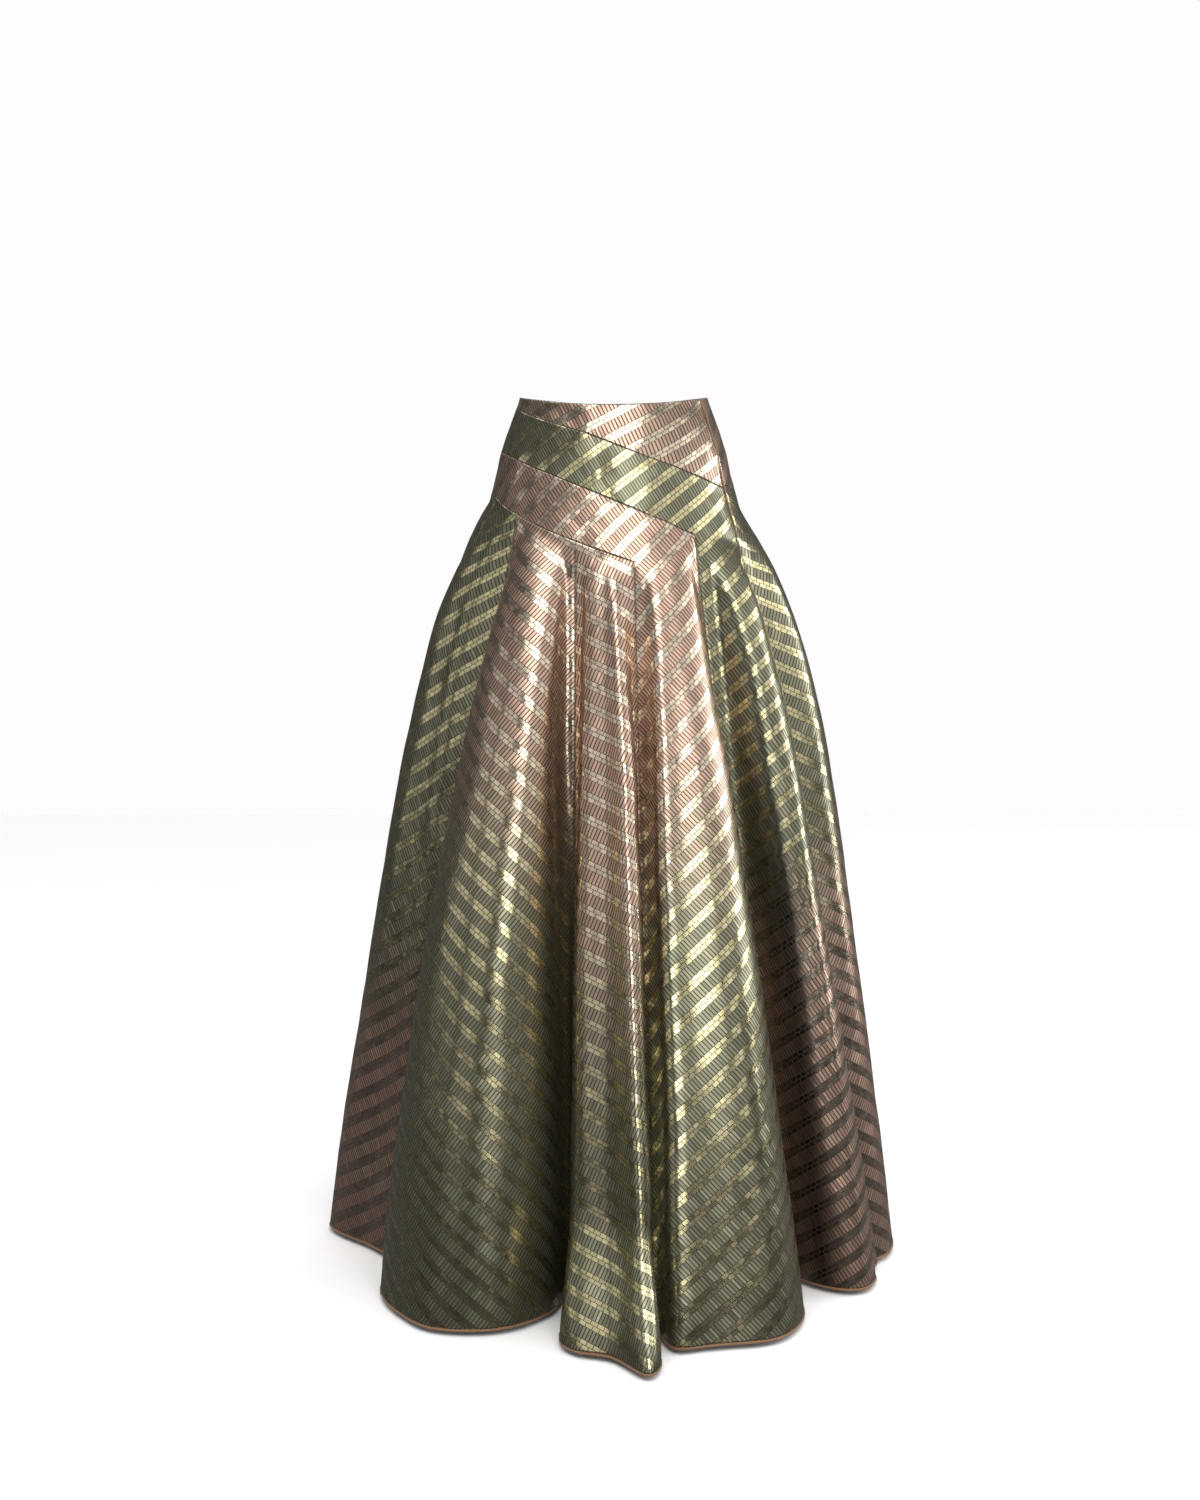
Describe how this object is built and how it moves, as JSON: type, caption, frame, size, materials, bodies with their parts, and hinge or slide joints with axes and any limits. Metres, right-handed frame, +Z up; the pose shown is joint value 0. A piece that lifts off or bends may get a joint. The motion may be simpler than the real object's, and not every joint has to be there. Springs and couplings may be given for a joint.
{
  "type": "lehenga skirt",
  "caption": "Full-length flared skirt of bias-cut metallic tile panels under a fitted yoke of diagonal bands, with a side zip and a bound hem.",
  "frame": {"origin": "centre of the waist opening at the level of the waist edge's lowest point, where the wearer's waist holds the skirt", "axes": "+Z up the wearer, the skirt's front faces +Y and its back faces -Y, +X is the side with the zip"},
  "size_m": [0.7406, 0.8245, 1.0871],
  "materials": {
    "rose_cloth": "rose and champagne metallic tile cloth, shading to olive green towards the hem",
    "green_cloth": "olive and gold metallic tile cloth, shading to rose brown towards the hem",
    "tan_binding": "plain tan binding"
  },
  "bodies": {
    "root": {"panel_left_side": "green_cloth", "panel_back_left": "rose_cloth", "panel_back_centre": "rose_cloth", "rose_band_and_panel": "rose_cloth", "green_band_and_panel": "green_cloth", "panel_right_side": "green_cloth", "panel_front_right": "rose_cloth", "panel_front_centre": "rose_cloth", "panel_front_left": "rose_cloth", "panel_left_front": "green_cloth", "yoke_wedge_back": "rose_cloth", "yoke_green_front": "green_cloth", "yoke_rose_front": "rose_cloth", "zip_edge": "tan_binding", "hem_binding": "tan_binding"}
  },
  "joints": []
}
